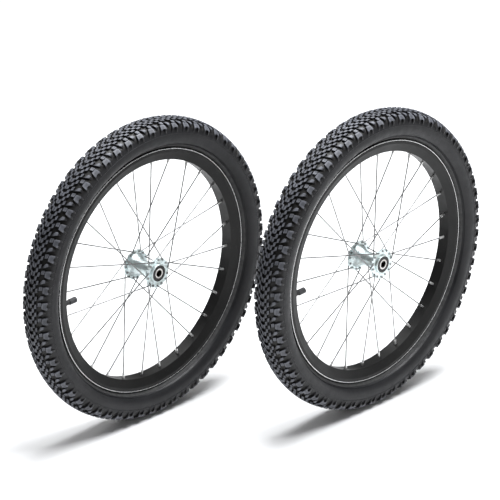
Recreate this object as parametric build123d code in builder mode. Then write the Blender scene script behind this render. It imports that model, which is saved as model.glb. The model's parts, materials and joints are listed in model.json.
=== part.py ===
"""A pair of 20 inch (57-406) spoked wheels for a child bicycle trailer.

Each wheel is a knobbly tyre and tube on a double-wall rim, laced two-cross with 28 spokes to a
steel hub that turns on two sealed ball bearings around an open 12 mm axle sleeve.

Every piece is drawn once about its own wheel: the axle lies along Z, +Z is the near side and
angles run anticlockwise from +X. The finished pieces are then set at the two wheel centres with
the axle along Y, the near side facing -Y. The origin is the centre of the left wheel.
"""
from build123d import *
from math import cos, radians, sin
import os

# ---- the pair, mm ----
left_centre = (0.0, 0.0, 0.0)
right_centre = (285.0, -240.0, 0.0)

# ---- working allowance ----
cut_over = 2.0               # cuts run this far past the faces they pass through

# ---- tyre, tube and tape ----
tyre_radius = 260.0          # over the tread blocks
tyre_half_width = 28.5       # widest point of the sidewall
tyre_widest_height = 28.5    # height of the widest point above the bead seat
shoulder_drop = 8.0          # fall of the tread from its crown to the shoulder
shoulder_half_width = 24.8
tread_thickness = 6.0        # crown, blocks included
sidewall_thickness = 2.2
tread_groove_depth = 3.0     # between the rows of blocks
air_crown_rise = 22.5        # height of the rounded top of the air space
tyre_lip_cover = 0.5         # clearance of the rubber over the rim's lip
lower_wall_bow = 2.9         # how far the wall stays inside its widest, half way down
air_lower_bow = 4.0          # the same for the air space
upper_wall_bow = 0.6         # the same half way up to the shoulder
wall_bow_shift = 2.0         # the lower bow sits this far below half way
shoulder_edge_drop = 3.5     # slanted edge between shoulder and wall
shoulder_edge_inset = 2.0
tread_groove_width = 2.4
tread_groove_rows = (9.8, 17.6)   # distances of the grooves from the crown
bead_width = 5.0
bead_height = 6.0
bead_wire_size = 2.0
tube_wall = 1.0
tube_gap = 0.3               # all round the tube
tape_thickness = 0.6
tape_half_width = 7.4
tape_gap = 0.15

# ---- rim ----
bead_seat_radius = 203.0
rim_lip_height = 6.5         # lip above the bead seat
rim_half_width = 16.0
rim_lip_thickness = 1.8
rim_depth = 20.5             # lip to inner face
rim_inner_half_width = 10.5
rim_side_wall = 1.7
spoke_bed_thickness = 2.2
bridge_drop = 3.5            # well floor below the bead seat
bridge_thickness = 1.5
well_half_width = 8.0
well_ramp = 2.4
rim_corner_round = 1.2

# ---- spokes and nipples ----
spoke_count = 28
crosses = 2
spoke_radius = 1.0
elbow_bend = 2.5
elbow_out_gap = 1.0          # elbow clear of the flange face, spokes laid outside
elbow_in_gap = 0.4           # the same, spokes laid inside
spoke_end_share = 0.6        # share of the nipple's head that the spoke fills
spoke_head_step = 0.95       # head beyond the spoke
spoke_head_height = 1.1
nipple_wall = 0.95
bed_drill_depth = 8.0        # below the nipple's seat
nipple_length = 9.5          # below its seat
nipple_head_step = 1.0       # head beyond the nipple's body
nipple_head_height = 2.5
nipple_seat_depth = 0.6      # seat cut into the spoke bed
nipple_hole_gap = 0.15
nipple_access_gap = 0.6      # around the nipple's head
spoke_thread_gap = 0.05

# ---- hub ----
flange_edge = 3.5            # flange beyond the spoke hole circle
flange_thickness = 2.6
flange_inset = 4.5           # flange mid plane behind the bearing's outer face
hub_hole_circle = 22.5       # radius of the spoke hole circle
hub_hole_gap = 0.45          # around a spoke
flange_notch_radius = 3.4
flange_notch_bite = 1.5      # depth of each notch in the flange's edge
hub_waist_radius = 12.5
hub_cone_length = 7.0
hub_wall = 1.6
cup_wall = 2.2
hub_inner_step = 1.0         # bore of the cone starts this far before its end
cup_shoulder = 2.0           # step that the bearing rests on
cup_floor_thickness = 2.0
press_gap = 0.02

# ---- bearings, 6001 size ----
bore_radius = 6.0
bearing_radius = 14.0
bearing_face = 30.0          # outer face from the wheel's centre plane
ball_count = 8
ball_radius = 2.381
race_depth = 0.881           # groove below each ring's shoulder
race_gap = 0.06              # ball to race
pocket_gap = 0.08
cage_wall = 1.6
cage_edge = 0.45
seal_thickness = 0.6
seal_recess = 0.1
cage_seal_gap = 0.469
seal_lip_gap = 0.3
spacer_wall = 1.6

# ---- valve ----
valve_angle = 182.0
pitches_to_valve = 22.5      # from the first nipple back to the valve
valve_radius = 4.0           # rubber-covered stem
valve_hole_gap = 0.25
valve_reach = 23.0           # stem beyond the rim's inner face
valve_thread_length = 9.0
valve_thread_radius = 3.75
valve_bore_radius = 2.6
valve_foot_thickness = 1.6
valve_core_length = 14.0
valve_core_sink = 1.0
valve_core_gap = 0.05
valve_pin_radius = 0.6
valve_pin_gap = 0.1
valve_pin_reach = 0.6        # pin end beyond the core
valve_pin_tail = 2.0         # past the core, inside the stem
cap_wall = 1.0
cap_gap = 0.3
cap_end = 6.0                # solid end below the stem's mouth
cap_mouth_gap = 0.5
cap_ribs = 12
cap_end_chamfer = 0.3
cap_rib_groove = 0.45

# ---- derived ----
pitch = 360.0 / spoke_count
first_nipple = valve_angle + pitches_to_valve * pitch
cross_angle = crosses * 2 * pitch
lip_radius = bead_seat_radius + rim_lip_height
rim_inner_radius = lip_radius - rim_depth
bed_radius = rim_inner_radius + spoke_bed_thickness
seat_radius = bed_radius - nipple_seat_depth
well_radius = bead_seat_radius - bridge_drop
bridge_inner = well_radius - bridge_thickness
lip_inner = rim_half_width - rim_lip_thickness
widest_radius = bead_seat_radius + tyre_widest_height
shoulder_radius = tyre_radius - shoulder_drop
wall_top_radius = shoulder_radius - shoulder_edge_drop
spoke_head_radius = spoke_radius + spoke_head_step
elbow_out = spoke_radius + elbow_out_gap
elbow_in = spoke_radius + elbow_in_gap
nipple_radius = spoke_radius + spoke_thread_gap + nipple_wall
nipple_head_radius = nipple_radius + nipple_head_step
hub_hole_radius = spoke_radius + hub_hole_gap
flange_radius = hub_hole_circle + flange_edge
flange_station = bearing_face - flange_inset
ball_circle = (bore_radius + bearing_radius) / 2
inner_ring_radius = ball_circle - ball_radius + race_depth
outer_ring_bore = ball_circle + ball_radius - race_depth
bearing_width = 2 * (ball_radius + cage_edge + cage_seal_gap + seal_thickness + seal_recess)
bearing_station = bearing_face - bearing_width / 2
valve_tip = rim_inner_radius - valve_reach
cup_radius = bearing_radius + press_gap + cup_wall
cup_floor = bearing_face - bearing_width
hub_cone_end = cup_floor - cup_floor_thickness
hub_waist_half_length = hub_cone_end - hub_cone_length
tape_top = well_radius + tape_gap + tape_thickness


def near_half(*points):
    """Points (radius, height) of the near half followed by their mirror images, as one loop."""
    return list(points) + [(r, -z) for r, z in reversed(points)]


# ---- tyre: closed section from knob tops to beads, open towards the rim ----
bead_heel = lip_inner - press_gap
bead_toe = bead_heel - bead_width
bead_base = bead_seat_radius + press_gap
over_lip = lip_radius + tyre_lip_cover
tyre_inside_width = tyre_half_width - sidewall_thickness
tyre_inside_radius = tyre_radius - tread_thickness
air_widest_radius = tyre_inside_radius - air_crown_rise
crown_radius = (shoulder_half_width ** 2 + shoulder_drop ** 2) / (2 * shoulder_drop)

with BuildPart() as tyre:
    with BuildSketch(Plane.XZ):
        with BuildLine():
            Polyline((over_lip, -rim_half_width), (over_lip, -bead_heel), (bead_base, -bead_heel),
                     (bead_base, bead_heel), (over_lip, bead_heel), (over_lip, rim_half_width))
            ThreePointArc((over_lip, rim_half_width),
                          ((over_lip + widest_radius) / 2 - wall_bow_shift, tyre_half_width - lower_wall_bow),
                          (widest_radius, tyre_half_width))
            ThreePointArc((widest_radius, tyre_half_width),
                          ((widest_radius + shoulder_radius) / 2, tyre_half_width - upper_wall_bow),
                          (wall_top_radius, tyre_half_width - shoulder_edge_inset))
            Line((wall_top_radius, tyre_half_width - shoulder_edge_inset),
                 (shoulder_radius, shoulder_half_width))
            ThreePointArc((shoulder_radius, shoulder_half_width), (tyre_radius, 0),
                          (shoulder_radius, -shoulder_half_width))
            Line((shoulder_radius, -shoulder_half_width),
                 (wall_top_radius, shoulder_edge_inset - tyre_half_width))
            ThreePointArc((wall_top_radius, shoulder_edge_inset - tyre_half_width),
                          ((widest_radius + shoulder_radius) / 2, upper_wall_bow - tyre_half_width),
                          (widest_radius, -tyre_half_width))
            ThreePointArc((widest_radius, -tyre_half_width),
                          ((over_lip + widest_radius) / 2 - wall_bow_shift, lower_wall_bow - tyre_half_width),
                          (over_lip, -rim_half_width))
        make_face()
        # the air space, which narrows between the beads
        with BuildLine():
            Polyline((bead_base + bead_height, bead_toe), (bead_base, bead_toe),
                     (bead_base, -bead_toe), (bead_base + bead_height, -bead_toe))
            ThreePointArc((bead_base + bead_height, -bead_toe),
                          ((bead_base + bead_height + air_widest_radius) / 2 - wall_bow_shift,
                           air_lower_bow - tyre_inside_width),
                          (air_widest_radius, -tyre_inside_width))
            ThreePointArc((air_widest_radius, -tyre_inside_width), (tyre_inside_radius, 0),
                          (air_widest_radius, tyre_inside_width))
            ThreePointArc((air_widest_radius, tyre_inside_width),
                          ((bead_base + bead_height + air_widest_radius) / 2 - wall_bow_shift,
                           tyre_inside_width - air_lower_bow),
                          (bead_base + bead_height, bead_toe))
        make_face(mode=Mode.SUBTRACT)
        # grooves in the beads for the bead wires
        with Locations((bead_base, (bead_heel + bead_toe) / 2), (bead_base, -(bead_heel + bead_toe) / 2)):
            Rectangle(2 * (bead_wire_size + 2 * press_gap), bead_wire_size + 2 * press_gap,
                      mode=Mode.SUBTRACT)
        # grooves between the rows of tread blocks, each as deep below the crown's own curve
        for row in tread_groove_rows:
            surface = tyre_radius - crown_radius + (crown_radius ** 2 - row ** 2) ** 0.5
            for z in {row, -row}:
                with Locations((surface + tread_groove_depth, z)):
                    Rectangle(4 * tread_groove_depth, tread_groove_width, mode=Mode.SUBTRACT)
    revolve(axis=Axis.Z)

with BuildPart() as bead_wires:
    with BuildSketch(Plane.XZ):
        with Locations((bead_base + press_gap + bead_wire_size / 2, (bead_heel + bead_toe) / 2),
                       (bead_base + press_gap + bead_wire_size / 2, -(bead_heel + bead_toe) / 2)):
            Rectangle(bead_wire_size, bead_wire_size)
    revolve(axis=Axis.Z)


# ---- valve axes: Z of this plane points from the axle out through the valve ----
valve_out = Vector(cos(radians(valve_angle)), sin(radians(valve_angle)), 0)
valve_plane = Plane(origin=(0, 0, 0), x_dir=(0, 0, 1), z_dir=valve_out)

# ---- inner tube: fills the air space a small gap inside the tyre and above the rim tape ----
tube_base = tape_top + tube_gap
tube_neck = bead_toe - tube_gap
tube_neck_radius = bead_base + bead_height + tube_gap
tube_half_width = tyre_inside_width - 2 * tube_gap
tube_outer_radius = tyre_inside_radius - 2 * tube_gap
tube_mid_radius = (tube_neck_radius + air_widest_radius) / 2 - wall_bow_shift
tube_mid_width = tube_half_width - air_lower_bow - 2 * tube_gap
tube_neck_taper = 2.0        # the neck narrows towards the rim

with BuildPart() as inner_tube:
    with BuildSketch(Plane.XZ) as tube_section:
        with BuildLine():
            Polyline((tube_neck_radius, tube_neck), (tube_base, tube_neck - tube_neck_taper),
                     (tube_base, -tube_neck + tube_neck_taper), (tube_neck_radius, -tube_neck))
            ThreePointArc((tube_neck_radius, -tube_neck), (tube_mid_radius, -tube_mid_width),
                          (air_widest_radius, -tube_half_width))
            ThreePointArc((air_widest_radius, -tube_half_width), (tube_outer_radius, 0),
                          (air_widest_radius, tube_half_width))
            ThreePointArc((air_widest_radius, tube_half_width),
                          (tube_mid_radius, tube_mid_width),
                          (tube_neck_radius, tube_neck))
        make_face()
        offset(amount=-tube_wall, mode=Mode.SUBTRACT)
    revolve(axis=Axis.Z)
    with BuildSketch(valve_plane.offset(tube_base - cut_over)):
        Circle(valve_radius + press_gap)
    extrude(amount=tube_wall + 2 * cut_over, mode=Mode.SUBTRACT)

with BuildPart() as rim_tape:
    with BuildSketch(Plane.XZ):
        with Locations((tape_top - tape_thickness / 2, 0)):
            Rectangle(tape_thickness, 2 * tape_half_width)
    revolve(axis=Axis.Z)
    with BuildSketch(valve_plane.offset(well_radius - cut_over)):
        Circle(valve_radius + valve_hole_gap)
    extrude(amount=tape_top - well_radius + 2 * cut_over, mode=Mode.SUBTRACT)


# ---- lacing: name, nipple step, flange side, turn of the hub hole, spoke laid outside ----
lacing = (
    ("near_leading", 0, 1, -cross_angle, True),
    ("far_leading", 1, -1, -cross_angle, True),
    ("near_trailing", 2, 1, cross_angle, False),
    ("far_trailing", 3, -1, cross_angle, False),
)
repeats = spoke_count // len(lacing)


def spoke_line(side, turn, outside):
    """Hub hole, elbow corner, nipple seat and direction of a spoke whose nipple is on +X."""
    hole = Vector(hub_hole_circle * cos(radians(turn)), hub_hole_circle * sin(radians(turn)), 0)
    face = flange_thickness / 2
    corner_z = flange_station + face + elbow_out if outside else flange_station - face - elbow_in
    corner = hole + Vector(0, 0, side * corner_z)
    seat = Vector(seat_radius, 0, 0)
    return hole, corner, seat, (seat - corner).normalized()


def nipple_turns(step):
    """Angles of one set's nipples."""
    return [first_nipple - (step + len(lacing) * i) * pitch for i in range(repeats)]


# ---- rim: double wall, hooked lips, drilled along each spoke ----
with BuildPart() as rim:
    with BuildSketch(Plane.XZ) as rim_section:
        with BuildLine():
            Polyline(*near_half((well_radius, well_half_width),
                                (bead_seat_radius, well_half_width + well_ramp),
                                (bead_seat_radius, lip_inner), (lip_radius, lip_inner),
                                (lip_radius, rim_half_width), (bead_seat_radius, rim_half_width),
                                (rim_inner_radius, rim_inner_half_width)),
                     close=True)
        make_face()
        slope = (rim_half_width - rim_inner_half_width) / (bead_seat_radius - rim_inner_radius)
        with BuildLine():
            Polyline(*near_half(
                (bridge_inner, rim_inner_half_width - rim_side_wall
                 + slope * (bridge_inner - rim_inner_radius)),
                (bed_radius, rim_inner_half_width - rim_side_wall
                 + slope * (bed_radius - rim_inner_radius))), close=True)
        make_face(mode=Mode.SUBTRACT)
        fillet(rim_section.vertices().filter_by(
            lambda v: abs(v.Z) > 1 and (v.X > bead_seat_radius + 1 or v.X < rim_inner_radius + 0.1)),
            radius=min(rim_corner_round, 0.45 * rim_lip_thickness))
    revolve(axis=Axis.Z)
    for _, step, side, turn, outside in lacing:
        _, _, seat, along = spoke_line(side, turn, outside)
        drop = well_radius - seat_radius + cut_over
        drill = Plane(origin=seat + along * drop, z_dir=along).location
        with Locations(*[Rot(0, 0, angle) * drill for angle in nipple_turns(step)]):
            CounterBoreHole(radius=nipple_radius + nipple_hole_gap,
                            counter_bore_radius=nipple_head_radius + nipple_access_gap,
                            counter_bore_depth=drop, depth=drop + bed_drill_depth)
    with BuildSketch(valve_plane.offset(rim_inner_radius - cut_over)):
        Circle(valve_radius + valve_hole_gap)
    extrude(amount=well_radius - rim_inner_radius + 2 * cut_over, mode=Mode.SUBTRACT)

# ---- spokes, each set of seven turned round the wheel ----
spoke_sets = {}
for set_name, step, side, turn, outside in lacing:
    hole, corner, seat, along = spoke_line(side, turn, outside)
    head_side = -1 if outside else 1
    head_face = side * (flange_station + head_side * flange_thickness / 2)
    with BuildPart() as spoke:
        with BuildLine() as run:
            FilletPolyline(seat + along * nipple_head_height * spoke_end_share, corner,
                           hole + Vector(0, 0, head_face + side * head_side * spoke_head_height / 2),
                           radius=elbow_bend)
        with BuildSketch(Plane(origin=run.line @ 0, z_dir=run.line % 0)):
            Circle(spoke_radius)
        sweep()
        with BuildSketch(Plane.XY.offset(head_face)):
            with Locations((hole.X, hole.Y)):
                Circle(spoke_head_radius)
        extrude(amount=side * head_side * spoke_head_height)
    with BuildPart() as spoke_set:
        for angle in nipple_turns(step):
            add(spoke.part.rotate(Axis.Z, angle))
    spoke_sets[set_name] = spoke_set

# ---- nipples: headed sleeves in line with their spokes ----
with BuildPart() as nipples:
    for _, step, side, turn, outside in lacing:
        _, _, seat, along = spoke_line(side, turn, outside)
        with BuildPart(mode=Mode.PRIVATE) as nipple:
            with BuildSketch(Plane(origin=seat, z_dir=along)):
                Circle(nipple_head_radius)
            extrude(amount=nipple_head_height)
            with BuildSketch(Plane(origin=seat - along * nipple_length, z_dir=along)):
                Circle(nipple_radius)
            extrude(amount=nipple_length + nipple_head_height / 2)
            with BuildSketch(Plane(origin=seat - along * (nipple_length + 1), z_dir=along)):
                Circle(spoke_radius + spoke_thread_gap)
            extrude(amount=nipple_length + nipple_head_height + 2, mode=Mode.SUBTRACT)
        for angle in nipple_turns(step):
            add(nipple.part.rotate(Axis.Z, angle))

# ---- hub barrel: a waisted steel tube flared into a cup for each bearing ----
with BuildPart() as hub_barrel:
    with BuildSketch(Plane.XZ):
        with BuildLine():
            Polyline(*near_half(
                (hub_waist_radius, hub_waist_half_length),
                (cup_radius, hub_cone_end), (cup_radius, bearing_face),
                (bearing_radius + press_gap, bearing_face),
                (bearing_radius + press_gap, cup_floor),
                (bearing_radius - cup_shoulder, cup_floor),
                (bearing_radius - cup_shoulder, hub_cone_end - hub_inner_step),
                (hub_waist_radius - hub_wall, hub_waist_half_length)), close=True)
        make_face()
    revolve(axis=Axis.Z)

# ---- hub flanges: notched discs pressed on the cups ----
flanges = {}
for flange_name, side, shift in (("near", 1, 0.0), ("far", -1, -pitch)):
    with BuildPart() as flange:
        with BuildSketch(Plane.XY.offset(side * flange_station - flange_thickness / 2)):
            Circle(flange_radius)
            Circle(cup_radius + press_gap, mode=Mode.SUBTRACT)
            with PolarLocations(hub_hole_circle, spoke_count // 2, start_angle=first_nipple + shift):
                Circle(hub_hole_radius, mode=Mode.SUBTRACT)
            with PolarLocations(flange_radius + flange_notch_radius - flange_notch_bite,
                                spoke_count // 2, start_angle=first_nipple + shift + pitch):
                Circle(flange_notch_radius, mode=Mode.SUBTRACT)
        extrude(amount=flange_thickness)
    flanges[flange_name] = flange

# ---- bearing, drawn about its own mid plane ----
half = bearing_width / 2
race_radius = ball_radius + race_gap

with BuildPart() as outer_ring:
    with BuildSketch(Plane.XZ):
        with Locations(((bearing_radius + outer_ring_bore) / 2, 0)):
            Rectangle(bearing_radius - outer_ring_bore, bearing_width)
        with Locations((ball_circle, 0)):
            Circle(race_radius, mode=Mode.SUBTRACT)
    revolve(axis=Axis.Z)

with BuildPart() as inner_ring:
    with BuildSketch(Plane.XZ):
        with Locations(((inner_ring_radius + bore_radius) / 2, 0)):
            Rectangle(inner_ring_radius - bore_radius, bearing_width)
        with Locations((ball_circle, 0)):
            Circle(race_radius, mode=Mode.SUBTRACT)
    revolve(axis=Axis.Z)

with BuildPart() as balls:
    with PolarLocations(ball_circle, ball_count):
        Sphere(ball_radius)

with BuildPart() as cage:
    with BuildSketch(Plane.XY.offset(-(ball_radius + cage_edge))):
        Circle(ball_circle + cage_wall / 2)
        Circle(ball_circle - cage_wall / 2, mode=Mode.SUBTRACT)
    extrude(amount=2 * (ball_radius + cage_edge))
    with PolarLocations(ball_circle, ball_count):
        Cylinder(ball_radius + pocket_gap, cage_wall + cut_over, rotation=(0, 90, 0), mode=Mode.SUBTRACT)

with BuildPart() as seals:
    for face in (-1, 1):
        with BuildSketch(Plane.XY.offset(face * (half - seal_recess - seal_thickness / 2)
                                         - seal_thickness / 2)):
            Circle(outer_ring_bore - press_gap)
            Circle(inner_ring_radius + seal_lip_gap, mode=Mode.SUBTRACT)
        extrude(amount=seal_thickness)

# ---- spacer between the two inner rings, same bore ----
with BuildPart() as spacer_tube:
    with BuildSketch(Plane.XY.offset(-cup_floor)):
        Circle(bore_radius + spacer_wall)
        Circle(bore_radius, mode=Mode.SUBTRACT)
    extrude(amount=2 * cup_floor)

# ---- valve: foot inside the tube, covered stem, bare threaded end ----
foot_base = tube_base + tube_wall + press_gap
valve_foot_radius = tube_neck - tube_neck_taper - tube_wall - tube_gap
thread_start = valve_tip + valve_thread_length

with BuildPart() as valve_stem:
    with BuildSketch(valve_plane.offset(valve_tip)):
        Circle(valve_thread_radius)
    extrude(amount=valve_thread_length)
    with BuildSketch(valve_plane.offset(thread_start)):
        Circle(valve_radius)
    extrude(amount=foot_base - thread_start)
    with BuildSketch(valve_plane.offset(foot_base)):
        Circle(valve_foot_radius)
    extrude(amount=valve_foot_thickness)
    with BuildSketch(valve_plane.offset(valve_tip - 1)):
        Circle(valve_bore_radius)
    extrude(amount=foot_base + valve_foot_thickness - valve_tip + 2, mode=Mode.SUBTRACT)

core_start = valve_tip + valve_core_sink
with BuildPart() as valve_core:
    with BuildSketch(valve_plane.offset(core_start)):
        Circle(valve_bore_radius - valve_core_gap)
        Circle(valve_pin_radius + valve_pin_gap, mode=Mode.SUBTRACT)
    extrude(amount=valve_core_length)

with BuildPart() as valve_pin:
    with BuildSketch(valve_plane.offset(core_start - valve_pin_reach)):
        Circle(valve_pin_radius)
    extrude(amount=valve_core_length + valve_pin_reach + valve_pin_tail)

# ---- valve cap: closed towards the hub, ribbed for the fingers ----
cap_bore = valve_thread_radius + cap_gap
cap_radius = cap_bore + cap_wall
cap_mouth = thread_start - cap_mouth_gap
with BuildPart() as valve_cap:
    with BuildSketch(valve_plane.offset(valve_tip - cap_end)):
        Circle(cap_radius)
        with PolarLocations(cap_radius, cap_ribs):
            Circle(cap_rib_groove, mode=Mode.SUBTRACT)
    extrude(amount=cap_mouth - valve_tip + cap_end)
    chamfer(valve_cap.faces().sort_by(Axis(origin=(0, 0, 0), direction=valve_out))[0].edges(),
            cap_end_chamfer)
    with BuildSketch(valve_plane.offset(valve_tip - cap_gap)):
        Circle(cap_bore)
    extrude(amount=cap_mouth - valve_tip + cap_gap + 1, mode=Mode.SUBTRACT)

# ---- place every piece at both wheel centres and write it ----
stations = {
    "tyre": (tyre, 0), "bead_wires": (bead_wires, 0), "inner_tube": (inner_tube, 0),
    "rim_tape": (rim_tape, 0), "rim": (rim, 0), "nipples": (nipples, 0),
    "hub_barrel": (hub_barrel, 0), "spacer_tube": (spacer_tube, 0),
    "valve_stem": (valve_stem, 0), "valve_core": (valve_core, 0),
    "valve_pin": (valve_pin, 0), "valve_cap": (valve_cap, 0),
}
for set_name, spoke_set in spoke_sets.items():
    stations[f"spokes_{set_name}"] = (spoke_set, 0)
for flange_name, flange in flanges.items():
    stations[f"hub_flange_{flange_name}"] = (flange, 0)
for end, z in (("near", bearing_station), ("far", -bearing_station)):
    stations[f"{end}_outer_ring"] = (outer_ring, z)
    stations[f"{end}_inner_ring"] = (inner_ring, z)
    stations[f"{end}_balls"] = (balls, z)
    stations[f"{end}_cage"] = (cage, z)
    stations[f"{end}_seals"] = (seals, z)

os.makedirs("parts", exist_ok=True)
for side_name, centre in (("left", left_centre), ("right", right_centre)):
    wheel = Plane(origin=centre, x_dir=(1, 0, 0), z_dir=(0, -1, 0)).location
    for name, (piece, z) in stations.items():
        placed = piece.part.moved(wheel * Location((0, 0, z)))
        placed.label = f"{side_name}_{name}"
        export_step(placed, f"parts/{placed.label}.step")
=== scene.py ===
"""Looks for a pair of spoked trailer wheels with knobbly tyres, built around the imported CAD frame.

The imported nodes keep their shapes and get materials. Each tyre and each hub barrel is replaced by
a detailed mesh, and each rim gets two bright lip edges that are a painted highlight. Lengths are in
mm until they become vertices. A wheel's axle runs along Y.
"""
import json
import math
import random

import bmesh
import bpy
import numpy as np
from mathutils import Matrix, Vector


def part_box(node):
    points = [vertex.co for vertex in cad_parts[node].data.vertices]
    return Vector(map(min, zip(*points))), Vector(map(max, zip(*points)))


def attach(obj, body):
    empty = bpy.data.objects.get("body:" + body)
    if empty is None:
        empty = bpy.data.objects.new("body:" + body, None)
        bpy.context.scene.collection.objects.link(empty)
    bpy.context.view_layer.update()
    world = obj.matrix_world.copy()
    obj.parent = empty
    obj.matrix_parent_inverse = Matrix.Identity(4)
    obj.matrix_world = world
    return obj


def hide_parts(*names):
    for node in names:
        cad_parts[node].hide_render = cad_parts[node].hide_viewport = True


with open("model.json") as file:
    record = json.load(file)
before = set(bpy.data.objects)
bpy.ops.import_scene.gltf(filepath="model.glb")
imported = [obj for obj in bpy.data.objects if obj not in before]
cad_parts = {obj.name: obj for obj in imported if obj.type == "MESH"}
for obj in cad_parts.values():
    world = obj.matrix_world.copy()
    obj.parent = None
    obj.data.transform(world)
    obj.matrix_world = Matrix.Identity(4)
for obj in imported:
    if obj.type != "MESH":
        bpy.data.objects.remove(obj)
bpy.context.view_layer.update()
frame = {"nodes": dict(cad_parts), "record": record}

SIDES = ("left", "right")
MM = 0.001


def centre_of(node):
    """Middle of a CAD node's box, in metres."""
    low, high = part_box(node)
    return (Vector(low) + Vector(high)) / 2


wheel_centre = {side: centre_of(f"{side}_spacer_tube") for side in SIDES}
tyre_low, tyre_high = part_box("left_tyre")
FLOOR_Z = tyre_low[2]
TYRE_RADIUS = (tyre_high[2] - tyre_low[2]) / 2 / MM

# ------------------------------------------------------------------ materials

NOISE_LOW, NOISE_HIGH = 0.3, 0.7        # most of a noise's values lie between these
MIX_A, MIX_B, MIX_RESULT = 6, 7, 2      # colour sockets of a Mix node
MAP_LIMITS = slice(1, 5)                # the from and to limits among a Map Range node's inputs
CREST_START = 0.72                      # block height from which the rubber turns cleaner and takes a painted highlight


def new_material(name, **inputs):
    """A Principled material; keyword names are socket names with underscores for spaces."""
    mat = bpy.data.materials.new(name)
    mat.use_nodes = True
    shader = mat.node_tree.nodes["Principled BSDF"]
    for key, value in inputs.items():
        shader.inputs[key.replace("_", " ")].default_value = value
    return mat, mat.node_tree, shader


def add_node(tree, kind, **settings):
    """A new node; settings that name an input set its value, others set an attribute."""
    node = tree.nodes.new(kind)
    for key, value in settings.items():
        label = key.replace("_", " ")
        if label in node.inputs:
            node.inputs[label].default_value = value
        else:
            setattr(node, key, value)
    return node


def coordinates(tree):
    """Object coordinates: metres in the shared frame."""
    return add_node(tree, "ShaderNodeTexCoord").outputs["Object"]


def noise(tree, scale, detail, roughness=0.55):
    node = add_node(tree, "ShaderNodeTexNoise", Scale=scale, Detail=detail, Roughness=roughness)
    tree.links.new(coordinates(tree), node.inputs["Vector"])
    return node.outputs["Fac"]


def ramp(tree, source, stops):
    """Colour ramp over a 0 to 1 value. stops: (position, (r, g, b)), two of them."""
    node = add_node(tree, "ShaderNodeValToRGB")
    for element, (position, colour) in zip(node.color_ramp.elements, stops):
        element.position = position
        element.color = (*colour, 1.0)
    tree.links.new(source, node.inputs["Fac"])
    return node.outputs["Color"]


def remap(tree, source, low, high, to_low, to_high):
    node = add_node(tree, "ShaderNodeMapRange")
    for socket, value in zip(node.inputs[MAP_LIMITS], (low, high, to_low, to_high)):
        socket.default_value = value
    tree.links.new(source, node.inputs["Value"])
    return node.outputs["Result"]


def mix_colour(tree, factor, first, second):
    """Mix by a factor socket; first is a socket, second a socket or an (r, g, b)."""
    node = add_node(tree, "ShaderNodeMix", data_type="RGBA", blend_type="MIX")
    tree.links.new(factor, node.inputs["Factor"])
    tree.links.new(first, node.inputs[MIX_A])
    if isinstance(second, tuple):
        node.inputs[MIX_B].default_value = (*second, 1.0)
    else:
        tree.links.new(second, node.inputs[MIX_B])
    return node.outputs[MIX_RESULT]


def bump(tree, shader, height, strength, distance, after=None):
    """Bump the shader's normal by a height; after is the normal of an earlier bump."""
    node = add_node(tree, "ShaderNodeBump", Strength=strength, Distance=distance)
    tree.links.new(height, node.inputs["Height"])
    if after is not None:
        tree.links.new(after, node.inputs["Normal"])
    tree.links.new(node.outputs["Normal"], shader.inputs["Normal"])
    return node.outputs["Normal"]


def attribute(tree, name):
    return add_node(tree, "ShaderNodeAttribute", attribute_name=name).outputs["Fac"]


def cloudy(tree, source, dark, light):
    """Colour that drifts between dark and light with a noise."""
    return ramp(tree, source, [(NOISE_LOW, dark), (NOISE_HIGH, light)])


def set_colour(tree, shader, colour):
    tree.links.new(colour, shader.inputs["Base Color"])


def uneven_gloss(tree, shader, source, low, high):
    """Roughness that drifts between low and high with a noise."""
    rough = remap(tree, source, NOISE_LOW, NOISE_HIGH, low, high)
    tree.links.new(rough, shader.inputs["Roughness"])


def tyre_rubber():
    """Black rubber with dust and painted shade in the grooves, and a cleaner, bluer painted highlight on
    the tops of the blocks.
    """
    mat, tree, shader = new_material("tyre_rubber", Roughness=0.6, Specular_IOR_Level=0.32)
    carbon = cloudy(tree, noise(tree, 14.0, 5.0), (0.007, 0.007, 0.008), (0.015, 0.015, 0.017))
    # dust and painted shade: darker, browner rubber on the groove floors, the block feet and the notch over
    # the rim
    dust_and_shade = ramp(tree, noise(tree, 60.0, 6.0),
                [(0.35, (0.005, 0.0048, 0.0046)), (0.75, (0.016, 0.0145, 0.013))])
    # painted highlight: lighter, bluer rubber on the block tops, partly cleaner rubber
    clean_and_highlight = cloudy(tree, noise(tree, 45.0, 5.0), (0.075, 0.078, 0.090), (0.160, 0.166, 0.190))
    in_groove = mix_colour(tree, attribute(tree, "tread_floor"), carbon, dust_and_shade)
    # the block walls go from the groove colour low down to the painted highlight at the top
    crest = remap(tree, attribute(tree, "block_height"), CREST_START, 1.0, 0.0, 1.0)
    set_colour(tree, shader, mix_colour(tree, crest, in_groove, clean_and_highlight))
    uneven_gloss(tree, shader, noise(tree, 90.0, 5.0), 0.36, 0.55)
    fine = bump(tree, shader, noise(tree, 1500.0, 3.0), 0.25, 0.0003)
    bump(tree, shader, noise(tree, 160.0, 6.0), 0.25, 0.0012, after=fine)
    return mat


def rim_paint():
    """Satin black paint with faint scuffs."""
    mat, tree, shader = new_material("rim_paint", Roughness=0.42, Coat_Weight=0.06, Coat_Roughness=0.2,
                                     Specular_IOR_Level=0.2)
    colour = cloudy(tree, noise(tree, 9.0, 4.0), (0.006, 0.006, 0.006), (0.011, 0.0108, 0.0105))
    scuff = ramp(tree, noise(tree, 220.0, 8.0, 0.7), [(0.60, (0, 0, 0)), (0.80, (1, 1, 1))])
    set_colour(tree, shader, mix_colour(tree, scuff, colour, (0.035, 0.036, 0.035)))
    uneven_gloss(tree, shader, noise(tree, 40.0, 6.0), 0.36, 0.50)
    bump(tree, shader, noise(tree, 900.0, 4.0), 0.08, 0.0002)
    return mat


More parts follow.
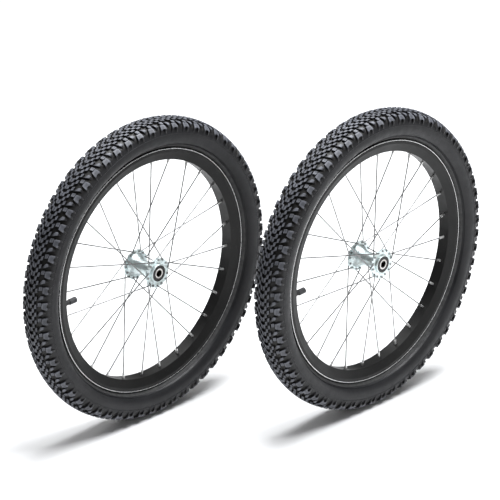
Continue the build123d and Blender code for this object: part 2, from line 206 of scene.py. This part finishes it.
def metal(name, dark, light, rough, metallic=1.0):
    """Plated steel: cloudy tone, uneven gloss and a fine grain."""
    mat, tree, shader = new_material(name, Metallic=metallic)
    set_colour(tree, shader, cloudy(tree, noise(tree, 60.0, 6.0, 0.6), dark, light))
    uneven_gloss(tree, shader, noise(tree, 180.0, 5.0), rough - 0.08, rough + 0.10)
    bump(tree, shader, noise(tree, 1400.0, 3.0), 0.12, 0.0002)
    return mat


def spangled_zinc():
    """Galvanised hub steel: pale bluish-green with faint crystal patches."""
    mat, tree, shader = new_material("hub_zinc", Metallic=0.85)
    cells = add_node(tree, "ShaderNodeTexVoronoi", Scale=420.0)
    tree.links.new(coordinates(tree), cells.inputs["Vector"])
    patch = ramp(tree, cells.outputs["Color"], [(0.1, (0.62, 0.72, 0.73)), (0.9, (0.84, 0.93, 0.94))])
    stain = ramp(tree, noise(tree, 90.0, 6.0), [(0.45, (0, 0, 0)), (0.78, (1, 1, 1))])
    set_colour(tree, shader, mix_colour(tree, stain, patch, (0.34, 0.36, 0.33)))
    uneven_gloss(tree, shader, noise(tree, 300.0, 5.0), 0.28, 0.46)
    bump(tree, shader, noise(tree, 800.0, 4.0), 0.15, 0.0003)
    return mat


def black_rubber(name, dark, light, rough):
    """Rubber or plastic, nearly black, with a fine grain."""
    mat, tree, shader = new_material(name, Specular_IOR_Level=0.4)
    set_colour(tree, shader, cloudy(tree, noise(tree, 120.0, 5.0), dark, light))
    uneven_gloss(tree, shader, noise(tree, 300.0, 4.0), rough - 0.08, rough + 0.08)
    bump(tree, shader, noise(tree, 2500.0, 3.0), 0.25, 0.0002)
    return mat


MATERIALS = {
    "tyre": tyre_rubber(),
    "rim_black": rim_paint(),
    # painted highlight: bright metal for the rings that stand in for light on the rims' lips
    "lip_highlight": metal("lip_highlight", (0.60, 0.60, 0.60), (0.80, 0.80, 0.80), 0.26),
    "spoke_steel": metal("spoke_steel", (0.15, 0.15, 0.15), (0.34, 0.34, 0.34), 0.34),
    "nipple_silver": metal("nipple_silver", (0.70, 0.70, 0.69), (0.92, 0.92, 0.91), 0.28, metallic=0.7),
    "hub_zinc": spangled_zinc(),
    "bearing_steel": metal("bearing_steel", (0.40, 0.38, 0.36), (0.62, 0.61, 0.60), 0.24),
    "bore_steel": metal("bore_steel", (0.16, 0.11, 0.07), (0.34, 0.27, 0.20), 0.46),
    "ring_black": metal("ring_black", (0.012, 0.011, 0.010), (0.030, 0.028, 0.027), 0.36, metallic=0.3),
    "cage_steel": metal("cage_steel", (0.38, 0.37, 0.34), (0.55, 0.54, 0.52), 0.30),
    "wire_steel": metal("wire_steel", (0.30, 0.27, 0.22), (0.42, 0.38, 0.33), 0.4),
    "brass": metal("brass", (0.48, 0.33, 0.12), (0.72, 0.55, 0.25), 0.32),
    "seal_rubber": black_rubber("seal_rubber", (0.012, 0.012, 0.013), (0.028, 0.027, 0.027), 0.5),
    "valve_rubber": black_rubber("valve_rubber", (0.016, 0.016, 0.017), (0.036, 0.036, 0.038), 0.55),
    "cap_plastic": black_rubber("cap_plastic", (0.045, 0.046, 0.049), (0.078, 0.079, 0.084), 0.40),
    "tube_rubber": black_rubber("tube_rubber", (0.02, 0.02, 0.02), (0.05, 0.05, 0.05), 0.6),
    "tape": black_rubber("tape", (0.05, 0.05, 0.055), (0.09, 0.09, 0.10), 0.6),
}
# nodes that look different from the rest of their slot, by the end of their name
OWN_LOOKS = {"spacer_tube": "bore_steel", "outer_ring": "ring_black"}

slot_of = {entry["node"]: entry["material_slot"] for entry in frame["record"]["subparts"]}
for node_name, node_object in frame["nodes"].items():
    look = slot_of[node_name]
    for ending, own_look in OWN_LOOKS.items():
        if node_name.endswith(ending):
            look = own_look
    for material_slot in node_object.material_slots:
        material_slot.material = MATERIALS[look]

# ------------------------------------------------------------------ meshes


def grid_faces(rows, count, closed):
    """Quads between rows of count points in a ring; a closed grid joins its last row to its first."""
    faces = []
    for i in range(rows if closed else rows - 1):
        j = (i + 1) % rows
        for k in range(count):
            m = (k + 1) % count
            faces.append([i * count + k, i * count + m, j * count + m, j * count + k])
    return faces


def new_object(name, mesh, material):
    """Give a mesh its material and put it in the scene."""
    mesh.materials.append(material)
    obj = bpy.data.objects.new(name, mesh)
    bpy.context.scene.collection.objects.link(obj)
    return obj


# ------------------------------------------------------------------ tyre

# casing, (z, r) points in mm from the wheel's middle plane and its axle
CROWN_RADIUS = 38.9          # casing's own curve across the tread
CROWN_REACH = 22.5           # half width of that curve
WIDEST = (28.1, 231.5)
LIP_EXIT = (17.6, 215.4)     # end of the sidewall, over the rim's lip
SHOULDER_PULL = 5.0          # how far the crown's direction shapes the shoulder
WIDEST_PULL = 8.5            # how far the wall runs upright on both sides of its widest
LIP_PULL = (23.0, 216.6)     # shapes the wall's run into its end
CASING_THICKNESS = 2.4
CASING_STEPS = 300           # sections round the wheel
CROWN_POINTS, SHOULDER_STEPS, WALL_STEPS = 15, 14, 12    # fineness of the skin's outline
TREAD_END, WALL_START = 27.0, 28.5           # places from the crown between which the wall begins
TREAD_POINTS, WALL_POINTS, INSIDE_POINTS = 12, 34, 16    # fineness of the section that is built
SLOPE_STEP = 0.2             # distance over which the casing's slope is taken
MOULD_RIBS = ((-5.5, 0.45), (37.0, 0.25))    # place from the crown, or back from the lip; height
RIB_PROFILE = ((-0.7, 0), (-0.3, 1), (0.3, 1), (0.7, 0))    # place across a rib, share of its height
DUST_AND_SHADE_REACH = 26.0            # dust and painted shade lie between the blocks this far from the crown
DUST_AND_SHADE_FADE = 6.0
# deep notch above the rim's lip, then round the bead and up inside: z, r, dust and painted shade (full in
# the notch, as painted shade)
NOTCH_AND_BEAD = [
    (15.0, 214.5, 1.0), (12.9, 213.0, 1.0), (12.0, 210.6, 1.0), (12.6, 207.8, 1.0), (14.1, 205.8, 1.0),
    (14.1, 203.2, 0.0), (9.4, 203.2, 0.0), (9.4, 208.6, 0.0), (10.2, 213.6, 0.0), (13.4, 217.4, 0.0)]
INSIDE_END = 3.0             # the inside stops this far short of the sidewall's end

# tread
PITCHES = 60                 # times that the pattern repeats round the wheel
BLOCK_HEIGHT = 4.0           # over the casing
BLOCK_DRAFT = 0.9            # a block's foot stands out this far past its top
BLOCK_SINK = 0.5             # foot below the casing's skin
FULL_HEIGHT = 0.9            # share of the height from which a corner belongs to the bordered top
TOP_SINK = 0.45              # middle of a bordered top below its border
TOP_SINK_HEIGHT = 0.88       # block height given to that middle, which makes its painted highlight dimmer than the border's
AXLE_SHARE = 0.1             # how much of the sinking follows the block's lean to the side
EDGE_BEVEL = 0.3
EDGE_ANGLE = math.radians(30)
KNOB_ROWS = ((9.2, 12.2, 8.4, 15.0), (4.9, 8.1, 2.0, 8.8), (0.7, 3.9, 8.6, 15.6))    # s, s, t, t
KNOB_SKEW = 1.1
SMOOTH_ANGLE = math.radians(28)

# whiskers
WHISKERS = 22                # on each side
WHISKER_PLACES = (38.5, 42.0, 47.5)
WHISKER_CORNERS = 6
WHISKER_SHIFT = (0.2, 0.8)   # place of a whisker within its share of the turn
WHISKER_LENGTH = (0.8, 2.2)
WHISKER_RINGS = (0.45, 0.3, 0.12)            # radius at its root, half way and at its tip
WHISKER_ROOT = -0.2          # height of the root over the casing
WHISKER_SEED = 7

# block_height also sets the painted highlight on the block tops; tread_floor sets the dust and painted
# shade
ATTRIBUTES = ("block_height", "tread_floor")


def bezier(p0, p1, p2, p3, steps):
    t = np.linspace(0, 1, steps + 1)[:, None]
    p0, p1, p2, p3 = (np.array(p, float) for p in (p0, p1, p2, p3))
    return (1 - t) ** 3 * p0 + 3 * (1 - t) ** 2 * t * p1 + 3 * (1 - t) * t ** 2 * p2 + t ** 3 * p3


def casing_profile():
    """Outer skin of the casing as (z, r) points, from the crown to the rim lip."""
    crown = TYRE_RADIUS - BLOCK_HEIGHT
    top_angle = math.asin(CROWN_REACH / CROWN_RADIUS)
    a = np.linspace(0, top_angle, CROWN_POINTS)
    arc = np.stack([CROWN_RADIUS * np.sin(a), crown - CROWN_RADIUS * (1 - np.cos(a))], axis=1)
    end, slope = arc[-1], np.array([math.cos(top_angle), -math.sin(top_angle)])
    over, under = (WIDEST[0], WIDEST[1] + WIDEST_PULL), (WIDEST[0], WIDEST[1] - WIDEST_PULL)
    shoulder = bezier(end, end + SHOULDER_PULL * slope, over, WIDEST, SHOULDER_STEPS)
    wall = bezier(WIDEST, under, LIP_PULL, LIP_EXIT, WALL_STEPS)
    return np.concatenate([arc, shoulder[1:], wall[1:]])


SKIN = casing_profile()
SKIN_S = np.concatenate([[0], np.cumsum(np.hypot(*np.diff(SKIN, axis=0).T))])


def skin_at(s):
    """The skin's (z, r) at a positive arc distance from the crown."""
    return np.interp(s, SKIN_S, SKIN[:, 0]), np.interp(s, SKIN_S, SKIN[:, 1])


def on_skin(s):
    """Point and outward normal of the casing at arc distance s from the crown; s may be negative."""
    side = -1.0 if s < 0 else 1.0
    s = abs(s)
    z, r = skin_at(s)
    z2, r2 = skin_at(s + SLOPE_STEP)
    dz, dr = z2 - z, r2 - r
    length = math.hypot(dz, dr) or 1.0
    return side * z, r, side * -dr / length, dz / length


def skin_point(t, s, height):
    """Tyre point at t mm round the crown and s mm across it, at a height over the casing, in metres."""
    z, r, nz, nr = on_skin(s)
    z, r = z + nz * height, r + nr * height
    angle = t / TYRE_RADIUS
    return Vector((r * math.cos(angle), -z, r * math.sin(angle))) * MM


def sink_top(bm, top, height_layer, border):
    """Leave a border round a block's top and sink the middle."""
    bm.normal_update()
    corners = set(top)
    crest = [f for f in bm.faces if all(v in corners and v[height_layer] > FULL_HEIGHT for v in f.verts)]
    inset = bmesh.ops.inset_region(bm, faces=crest, thickness=border * MM, use_even_offset=True)
    kept = {v for f in inset["faces"] for v in f.verts if v in corners}
    middle = sum((v.co for v in top), Vector()) / len(top)
    inward = Vector((-middle.x, -middle.y * AXLE_SHARE, -middle.z)).normalized()
    for v in {v for f in crest for v in f.verts} - kept:
        v.co += inward * TOP_SINK * MM
        v[height_layer] = TOP_SINK_HEIGHT


def add_block(bm, layers, rows, columns, holes=(), heights=None, border=0.0):
    """A tread block: rows are s values, columns the t values in each row, holes the open cells."""
    heights = heights or [BLOCK_HEIGHT] * len(rows)
    mid_t = sum(map(sum, columns)) / sum(map(len, columns))
    mid_s = sum(rows) / len(rows)
    half_t = max(abs(t - mid_t) for row in columns for t in row)
    half_s = max(abs(s - mid_s) for s in rows)
    top, foot = {}, {}
    for i, s in enumerate(rows):
        for j, t in enumerate(columns[i]):
            top[i, j] = bm.verts.new(skin_point(t, s, heights[i]))
            spread_t = (t - mid_t) * (1 + BLOCK_DRAFT / half_t)
            spread_s = (s - mid_s) * (1 + BLOCK_DRAFT / half_s)
            foot[i, j] = bm.verts.new(skin_point(mid_t + spread_t, mid_s + spread_s, -BLOCK_SINK))
            # the top's painted highlight follows its height; the foot gets dust and painted shade
            top[i, j][layers["block_height"]] = min(1.0, heights[i] / BLOCK_HEIGHT)
            foot[i, j][layers["block_height"]] = 0.0
            foot[i, j][layers["tread_floor"]] = 1.0
    cells = {(i, j) for i in range(len(rows) - 1) for j in range(len(columns[0]) - 1)} - set(holes)
    for i, j in cells:
        ring = [(i, j), (i + 1, j), (i + 1, j + 1), (i, j + 1)]
        bm.faces.new([top[k] for k in ring])
        neighbours = [(i, j - 1), (i + 1, j), (i, j + 1), (i - 1, j)]
        for (a, b), other in zip(zip(ring, ring[1:] + ring[:1]), neighbours):
            if other not in cells:
                bm.faces.new([top[b], top[a], foot[a], foot[b]])
    if border:
        sink_top(bm, list(top.values()), layers["block_height"], border)
    used = {v for f in bm.faces for v in f.verts}
    for v in list(top.values()) + list(foot.values()):
        if v not in used:
            bm.verts.remove(v)


def tread_pitch():
    """All the blocks of one tread pitch, both sides, as a bmesh."""
    bm = bmesh.new()
    layers = {key: bm.verts.layers.float.new(key) for key in ATTRIBUTES}
    pitch = 2 * math.pi * TYRE_RADIUS / PITCHES
    for side, shift in ((1, 0.0), (-1, pitch / 2)):

        def block(rows, columns, **kw):
            add_block(bm, layers, [side * s for s in rows], [[t + shift for t in row] for row in columns],
                      **kw)

        # forked shoulder block: a bordered body with two legs that run down the sidewall
        block([20.6, 23.8, 27.2, 30.4, 34.6],
              [[4.4, 7.0, 10.6, 13.4], [3.4, 6.6, 11.0, 14.4], [2.6, 6.4, 11.6, 15.4],
               [2.4, 5.4, 12.4, 16.0], [2.6, 4.6, 13.8, 16.4]],
              holes=[(2, 1), (3, 1)], heights=[4.0, 4.3, 4.1, 2.4, 0.4], border=0.9)
        # small square block on its crown side
        block([14.6, 17.2, 19.6], [[4.6, 10.6], [3.6, 10.0], [3.4, 9.2]], border=0.7)
        # low ridge that rises to a pointed block between two shoulder blocks
        block([12.8, 15.6, 18.6, 21.8, 26.5],
              [[26.2, 28.2], [23.4, 27.2], [19.0, 25.6], [18.4, 23.6], [20.2, 22.6]],
              heights=[2.2, 3.2, 4.2, 4.0, 0.8])
        # three staggered rows of knobs, twice in each pitch, each knob a little skewed
        for turn in (0.0, pitch / 2):
            for low, high, start, end in KNOB_ROWS:
                block([low, (low + high) / 2, high],
                      [[start + lean + turn, end + lean + turn] for lean in (KNOB_SKEW, 0.0, -KNOB_SKEW)],
                      border=0.6)
    bmesh.ops.recalc_face_normals(bm, faces=bm.faces)
    sharp = [e for e in bm.edges if len(e.link_faces) == 2 and e.calc_face_angle(0) > EDGE_ANGLE]
    bmesh.ops.bevel(bm, geom=sharp, offset=EDGE_BEVEL * MM, segments=1, affect="EDGES",
                    clamp_overlap=True)
    return bm


def casing_section():
    """Closed section of the casing with its mould ribs, beads and inside, as (z, r, tread_floor)."""
    wall_end = SKIN_S[-1]
    outer = []
    places = [*np.linspace(0, TREAD_END, TREAD_POINTS), *np.linspace(WALL_START, wall_end, WALL_POINTS)]
    for s in places:
        z, r = on_skin(s)[:2]
        # dust and painted shade on the casing between the blocks, fading out down the sidewall
        outer.append((z, r, 1.0 if s < DUST_AND_SHADE_REACH else max(0.0, 1 - (s - DUST_AND_SHADE_REACH) / DUST_AND_SHADE_FADE)))
    for place, proud in MOULD_RIBS:
        middle = wall_end + place if place < 0 else place
        for across, share in RIB_PROFILE:
            z, r, nz, nr = on_skin(middle + across)
            outer.append((z + nz * proud * share, r + nr * proud * share, 0.0))
    # from the crown down; where two points are level, the inner one comes first
    outer.sort(key=lambda p: -p[1] + p[0] * 1e-3)
    inner = []
    for s in reversed(np.linspace(0, wall_end - INSIDE_END, INSIDE_POINTS)):
        z, r, nz, nr = on_skin(s)
        inner.append((z - nz * CASING_THICKNESS, r - nr * CASING_THICKNESS, 0.0))
    near = outer + NOTCH_AND_BEAD + inner
    return near + [(-z, r, f) for z, r, f in reversed(near)][1:-1]


class Gathered:
    """Points, faces and attributes of a mesh that is put together from pieces."""

    def __init__(self):
        self.points, self.faces = [], []
        self.values = {key: [] for key in ATTRIBUTES}

    def add(self, points, faces, block_height, tread_floor):
        """Add a piece whose faces count from its own first point."""
        start = sum(map(len, self.points))
        self.points.append(np.array(points))
        self.faces += [[start + k for k in face] for face in faces]
        for key, value in zip(ATTRIBUTES, (block_height, tread_floor)):
            self.values[key].append(np.broadcast_to(value, len(points)))


def add_tread(tyre):
    bm = tread_pitch()
    layers = {key: bm.verts.layers.float[key] for key in ATTRIBUTES}
    bm.verts.index_update()
    base = np.array([v.co for v in bm.verts])
    high, low = (np.array([v[layers[key]] for v in bm.verts]) for key in ATTRIBUTES)
    faces = [[v.index for v in f.verts] for f in bm.faces]
    bm.free()
    x, y, z = base.T
    for i in range(PITCHES):
        angle = 2 * math.pi * i / PITCHES
        c, s = math.cos(angle), math.sin(angle)
        tyre.add(np.stack([x * c - z * s, y, x * s + z * c], axis=1), faces, high, low)


def add_casing(tyre):
    z, r, dust_and_shade = np.array(casing_section()).T
    rings = []
    for i in range(CASING_STEPS):
        angle = 2 * math.pi * i / CASING_STEPS
        rings.append(np.stack([r * math.cos(angle), -z, r * math.sin(angle)], axis=1) * MM)
    tyre.add(np.concatenate(rings), grid_faces(CASING_STEPS, len(z), closed=True),
             0.0, np.tile(dust_and_shade, CASING_STEPS))


def add_whiskers(tyre):
    """Little rubber whiskers left by the mould's vents: three rings and a flat end."""
    rng = random.Random(WHISKER_SEED)
    last_ring = (len(WHISKER_RINGS) - 1) * WHISKER_CORNERS
    end_face = [last_ring + k for k in range(WHISKER_CORNERS)]
    faces = grid_faces(len(WHISKER_RINGS), WHISKER_CORNERS, closed=False) + [end_face]
    for side in (1, -1):
        for i in range(WHISKERS):
            angle = 2 * math.pi * (i + rng.uniform(*WHISKER_SHIFT)) / WHISKERS
            s = rng.choice(WHISKER_PLACES)
            length = rng.uniform(*WHISKER_LENGTH)
            heights = (WHISKER_ROOT, length * 0.5, length)
            t = angle * TYRE_RADIUS
            points = [tuple(skin_point(t + radius * math.cos(a), side * (s + radius * math.sin(a)), height))
                      for height, radius in zip(heights, WHISKER_RINGS)
                      for a in np.linspace(0, 2 * math.pi, WHISKER_CORNERS, endpoint=False)]
            tyre.add(points, faces, 0.0, 0.0)


def build_tyre(name, centre):
    """A knobbly tyre as one mesh about a wheel centre."""
    tyre = Gathered()
    add_tread(tyre)
    add_casing(tyre)
    add_whiskers(tyre)
    mesh = bpy.data.meshes.new(name)
    mesh.from_pydata((np.concatenate(tyre.points) + np.array(centre)).tolist(), [], tyre.faces)
    for key, values in tyre.values.items():
        layer = mesh.attributes.new(key, "FLOAT", "POINT")
        layer.data.foreach_set("value", np.concatenate(values).astype(np.float32))
    bm = bmesh.new()
    bm.from_mesh(mesh)
    bmesh.ops.recalc_face_normals(bm, faces=bm.faces)
    bm.to_mesh(mesh)
    bm.free()
    mesh.polygons.foreach_set("use_smooth", [True] * len(mesh.polygons))
    mesh.set_sharp_from_angle(angle=SMOOTH_ANGLE)
    return new_object(name, mesh, MATERIALS["tyre"])


for side in SIDES:
    tyre = build_tyre(f"{side}_tyre_tread", wheel_centre[side])
    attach(tyre, f"{side}_wheel")
    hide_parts(f"{side}_tyre")

# ------------------------------------------------------------------ rim lips

LIP_EDGE_RADIUS = 0.9
LIP_EDGE_INSET = 0.7         # middle of the edge in from the rim's outermost corner
LIP_EDGE_CORNERS = 8
RIM_STEPS = 300


def ring_piece(name, centre, radius, y, section, material, steps):
    """A ring about a wheel's axle: section is a list of (y, r) offsets in mm round its core."""
    points = []
    for i in range(steps):
        angle = 2 * math.pi * i / steps
        for dy, dr in section:
            r = radius + dr
            points.append(Vector((r * math.cos(angle), y + dy, r * math.sin(angle))) * MM + centre)
    mesh = bpy.data.meshes.new(name)
    mesh.from_pydata(points, [], grid_faces(steps, len(section), closed=True))
    mesh.polygons.foreach_set("use_smooth", [True] * len(mesh.polygons))
    return new_object(name, mesh, material)


def circle(radius, count):
    angles = [2 * math.pi * i / count for i in range(count)]
    return [(radius * math.cos(a), radius * math.sin(a)) for a in angles]


# bright metal rings at the rims' rolled lip edges: a painted highlight along each lip
rim_low, rim_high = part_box("left_rim")
lip_radius = (rim_high[2] - rim_low[2]) / 2 / MM
rim_half_width = (rim_high[1] - rim_low[1]) / 2 / MM
for side in SIDES:
    for name, facing in (("near", -1), ("far", 1)):
        edge = ring_piece(f"{side}_rim_lip_{name}", wheel_centre[side], lip_radius - LIP_EDGE_INSET,
                          facing * (rim_half_width - LIP_EDGE_INSET),
                          circle(LIP_EDGE_RADIUS, LIP_EDGE_CORNERS), MATERIALS["lip_highlight"], RIM_STEPS)
        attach(edge, f"{side}_wheel")

# ------------------------------------------------------------------ hub

HUB_WAIST = 12.4
HUB_FLARE = 19.6             # radius of the barrel against the flange
FLARE_POWER = 3.2            # the higher, the later the barrel flares
FLANGE_GAP = 0.1
CUP_EDGE_WIDTH, CUP_EDGE_DROP = 0.8, 0.7     # slanted edge of the cup
BEARING_GAP = 0.05
CUP_SHOULDER = 2.0           # step that the bearing rests on
CUP_FLOOR = 3.0              # behind the bearing
BARREL_BORE = 10.4
BARREL_BORE_END = 13.0       # the bore is straight this far from the middle
HUB_STEPS = 96
FLARE_STEPS = 14
HUB_SHARP_ANGLE = math.radians(30)


def trumpet(waist, flare, reach):
    """Half of the barrel's outline, from its waist to the flare against the flange."""
    shares = [i / FLARE_STEPS for i in range(FLARE_STEPS + 1)]
    return [(reach * share, waist + (flare - waist) * share ** FLARE_POWER) for share in shares]


def radius_of(node):
    low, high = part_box(node)
    return (high[2] - low[2]) / 2 / MM


def depth_range(node, centre):
    """Nearest and furthest reach of a node along its axle, in mm from the wheel's middle."""
    low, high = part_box(node)
    return sorted(abs(y - centre.y) / MM for y in (low[1], high[1]))


for side in SIDES:
    flange_inner = depth_range(f"{side}_hub_flange_near", wheel_centre[side])[0]
    bearing_inner, bearing_outer = depth_range(f"{side}_near_outer_ring", wheel_centre[side])
    cup, bearing = radius_of(f"{side}_hub_barrel"), radius_of(f"{side}_near_outer_ring")
    flare_end = flange_inner - FLANGE_GAP
    seat, shoulder = bearing + BEARING_GAP, bearing - CUP_SHOULDER
    outline = trumpet(HUB_WAIST, HUB_FLARE, flare_end) + [
        (flare_end, cup), (bearing_outer - CUP_EDGE_WIDTH, cup), (bearing_outer, cup - CUP_EDGE_DROP),
        (bearing_outer, seat), (bearing_inner, seat), (bearing_inner, shoulder),
        (bearing_inner - CUP_FLOOR, shoulder), (BARREL_BORE_END, BARREL_BORE), (0.0, BARREL_BORE)]
    profile = outline + [(-y, r) for y, r in reversed(outline[1:-1])]
    shell = ring_piece(f"{side}_hub_shell", wheel_centre[side], 0.0, 0.0, profile,
                       MATERIALS["hub_zinc"], HUB_STEPS)
    shell.data.set_sharp_from_angle(angle=HUB_SHARP_ANGLE)
    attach(shell, f"{side}_wheel")
    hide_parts(f"{side}_hub_barrel")

# ------------------------------------------------------------------ stage, light, camera

FLOOR_REACH = 15             # metres each way
WORLD_STRENGTH = 0.17


def floor_material():
    mat, tree, shader = new_material("floor_paper", Roughness=0.9)
    set_colour(tree, shader, cloudy(tree, noise(tree, 3.0, 3.0), (0.88, 0.88, 0.88), (0.92, 0.92, 0.92)))
    return mat


floor_corners = ((-1, -1), (1, -1), (1, 1), (-1, 1))
floor_mesh = bpy.data.meshes.new("floor")
floor_mesh.from_pydata([(x * FLOOR_REACH, y * FLOOR_REACH, FLOOR_Z) for x, y in floor_corners],
                       [], [(0, 1, 2, 3)])
floor = new_object("floor", floor_mesh, floor_material())

bpy.context.scene.view_settings.view_transform = "Standard"
world = bpy.data.worlds.new("studio")
bpy.context.scene.world = world
world.use_nodes = True
background = world.node_tree.nodes["Background"]
background.inputs["Color"].default_value = (1.0, 1.0, 1.0, 1.0)
background.inputs["Strength"].default_value = WORLD_STRENGTH

pair_centre = (wheel_centre["left"] + wheel_centre["right"]) / 2


def area_light(name, position, size, power, colour=(1, 1, 1)):
    """A square light at a position from the middle of the pair, facing it; metres and watts."""
    data = bpy.data.lights.new(name, "AREA")
    data.shape, data.size, data.energy, data.color = "SQUARE", size, power, colour
    obj = bpy.data.objects.new(name, data)
    obj.location = pair_centre + Vector(position)
    obj.rotation_euler = (-Vector(position)).to_track_quat("-Z", "Y").to_euler()
    bpy.context.scene.collection.objects.link(obj)


area_light("key", (0.5, -0.2, 2.5), 2.0, 168.0, (0.965, 0.98, 1.0))
area_light("back", (0.6, 2.2, 1.8), 1.6, 20.0)
area_light("fill", (0.3, -2.4, 0.5), 1.8, 6.0)

CAMERA_AZIMUTH = math.radians(-46.0)
CAMERA_ELEVATION = math.radians(22.6)
CAMERA_DISTANCE = 5.0
PIXELS_PER_METRE = 603.0
PICTURE_WIDTH = 500.0        # pixels
SENSOR_WIDTH = 36.0
AIM_RIGHT, AIM_UP = -0.0141, 0.0232     # where the camera aims, from the middle of the pair

forward = Vector((-math.sin(CAMERA_AZIMUTH) * math.cos(CAMERA_ELEVATION),
                  math.cos(CAMERA_AZIMUTH) * math.cos(CAMERA_ELEVATION),
                  -math.sin(CAMERA_ELEVATION)))
right = Vector((math.cos(CAMERA_AZIMUTH), math.sin(CAMERA_AZIMUTH), 0))
up = right.cross(forward)
camera_data = bpy.data.cameras.new("camera")
camera_data.sensor_width = SENSOR_WIDTH
camera_data.lens = PIXELS_PER_METRE * CAMERA_DISTANCE / PICTURE_WIDTH * SENSOR_WIDTH
camera = bpy.data.objects.new("camera", camera_data)
camera.location = pair_centre + right * AIM_RIGHT + up * AIM_UP - forward * CAMERA_DISTANCE
camera.rotation_euler = forward.to_track_quat("-Z", "Y").to_euler()
bpy.context.scene.collection.objects.link(camera)
bpy.context.scene.camera = camera
